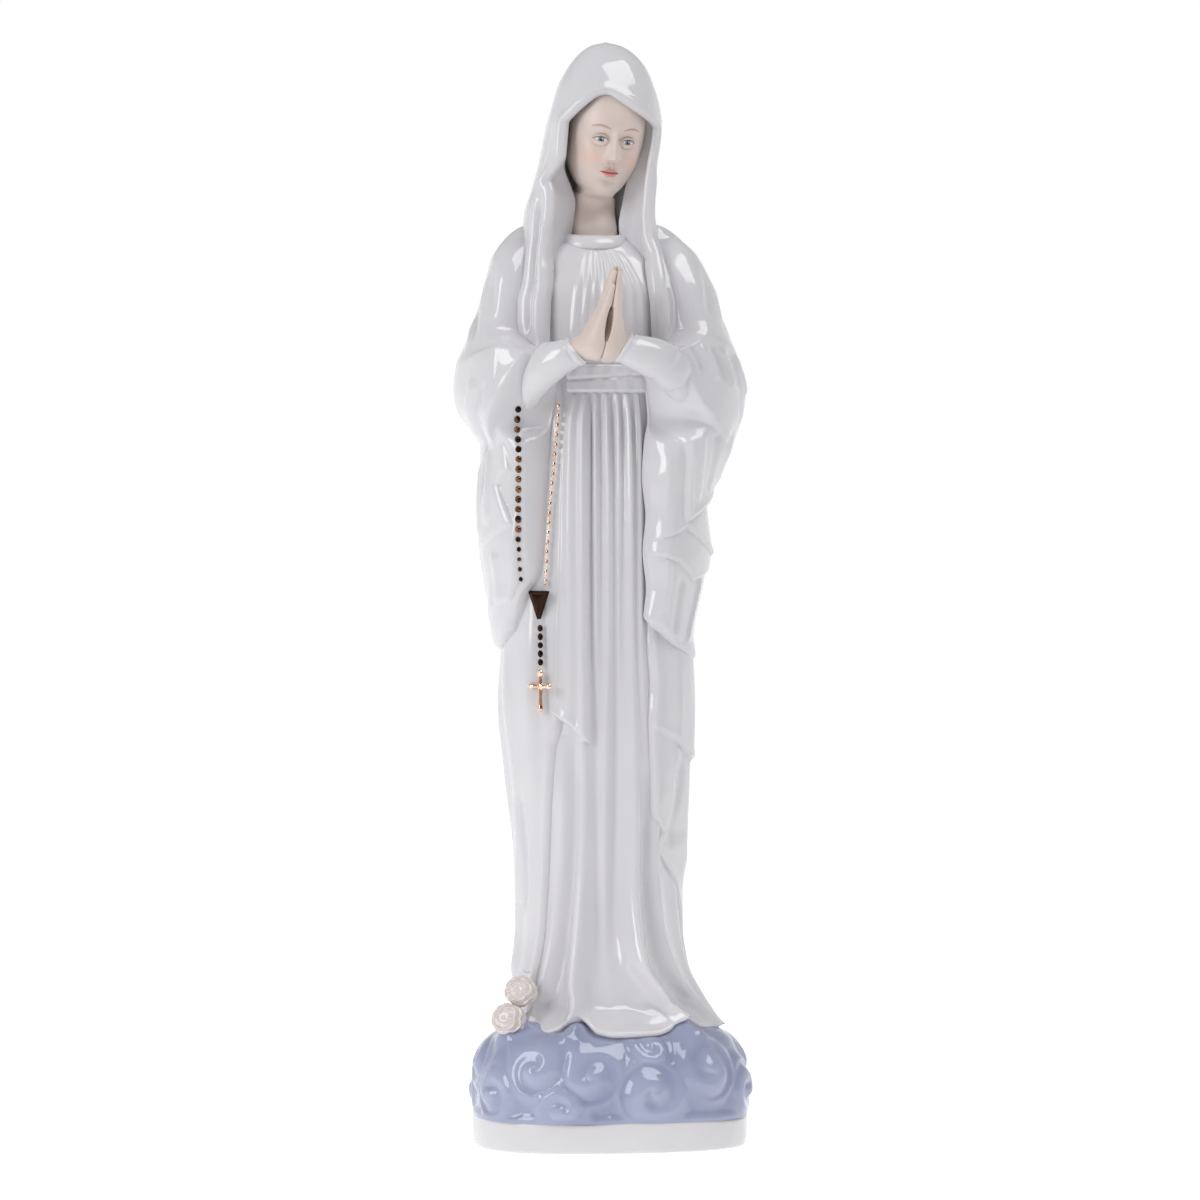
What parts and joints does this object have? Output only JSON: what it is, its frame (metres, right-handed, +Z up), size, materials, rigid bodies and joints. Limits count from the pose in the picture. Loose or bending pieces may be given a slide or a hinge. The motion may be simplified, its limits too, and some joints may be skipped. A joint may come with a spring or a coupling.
{
  "type": "praying madonna statue",
  "caption": "Standing porcelain figure of a veiled praying woman with a gold rosary, on an oval base of blue clouds.",
  "frame": {"origin": "centre of the plinth's underside, on the plane it stands on", "axes": "+Z up along the figure; the figure faces -Y, its right hand is towards -X"},
  "size_m": [0.0854, 0.0611, 0.3194],
  "materials": {
    "white_glaze": "clear gloss glaze on white porcelain",
    "foot_glaze": "clear gloss glaze, wiped off the underside",
    "blue_glaze": "lavender-blue gloss glaze, paler on the high spots",
    "flesh_bisque": "matte painted bisque",
    "peach_glaze": "pinkish beige gloss glaze",
    "gold_lustre": "fired gold lustre on raised slip"
  },
  "bodies": {
    "root": {"plinth": "foot_glaze", "cloud_base": "blue_glaze", "gown": "white_glaze", "mantle": "white_glaze", "right_wide_sleeve": "white_glaze", "left_wide_sleeve": "white_glaze", "right_forearm_sleeve": "white_glaze", "left_forearm_sleeve": "white_glaze", "sash": "white_glaze", "collar": "white_glaze", "head": "flesh_bisque", "veil": "white_glaze", "right_hand": "flesh_bisque", "left_hand": "flesh_bisque", "rose_upper": "peach_glaze", "rose_lower": "peach_glaze", "rosary_outer_strand": "gold_lustre", "rosary_inner_strand": "gold_lustre", "rosary_medal": "gold_lustre", "rosary_drop_strand": "gold_lustre", "rosary_cross": "gold_lustre"}
  },
  "joints": []
}
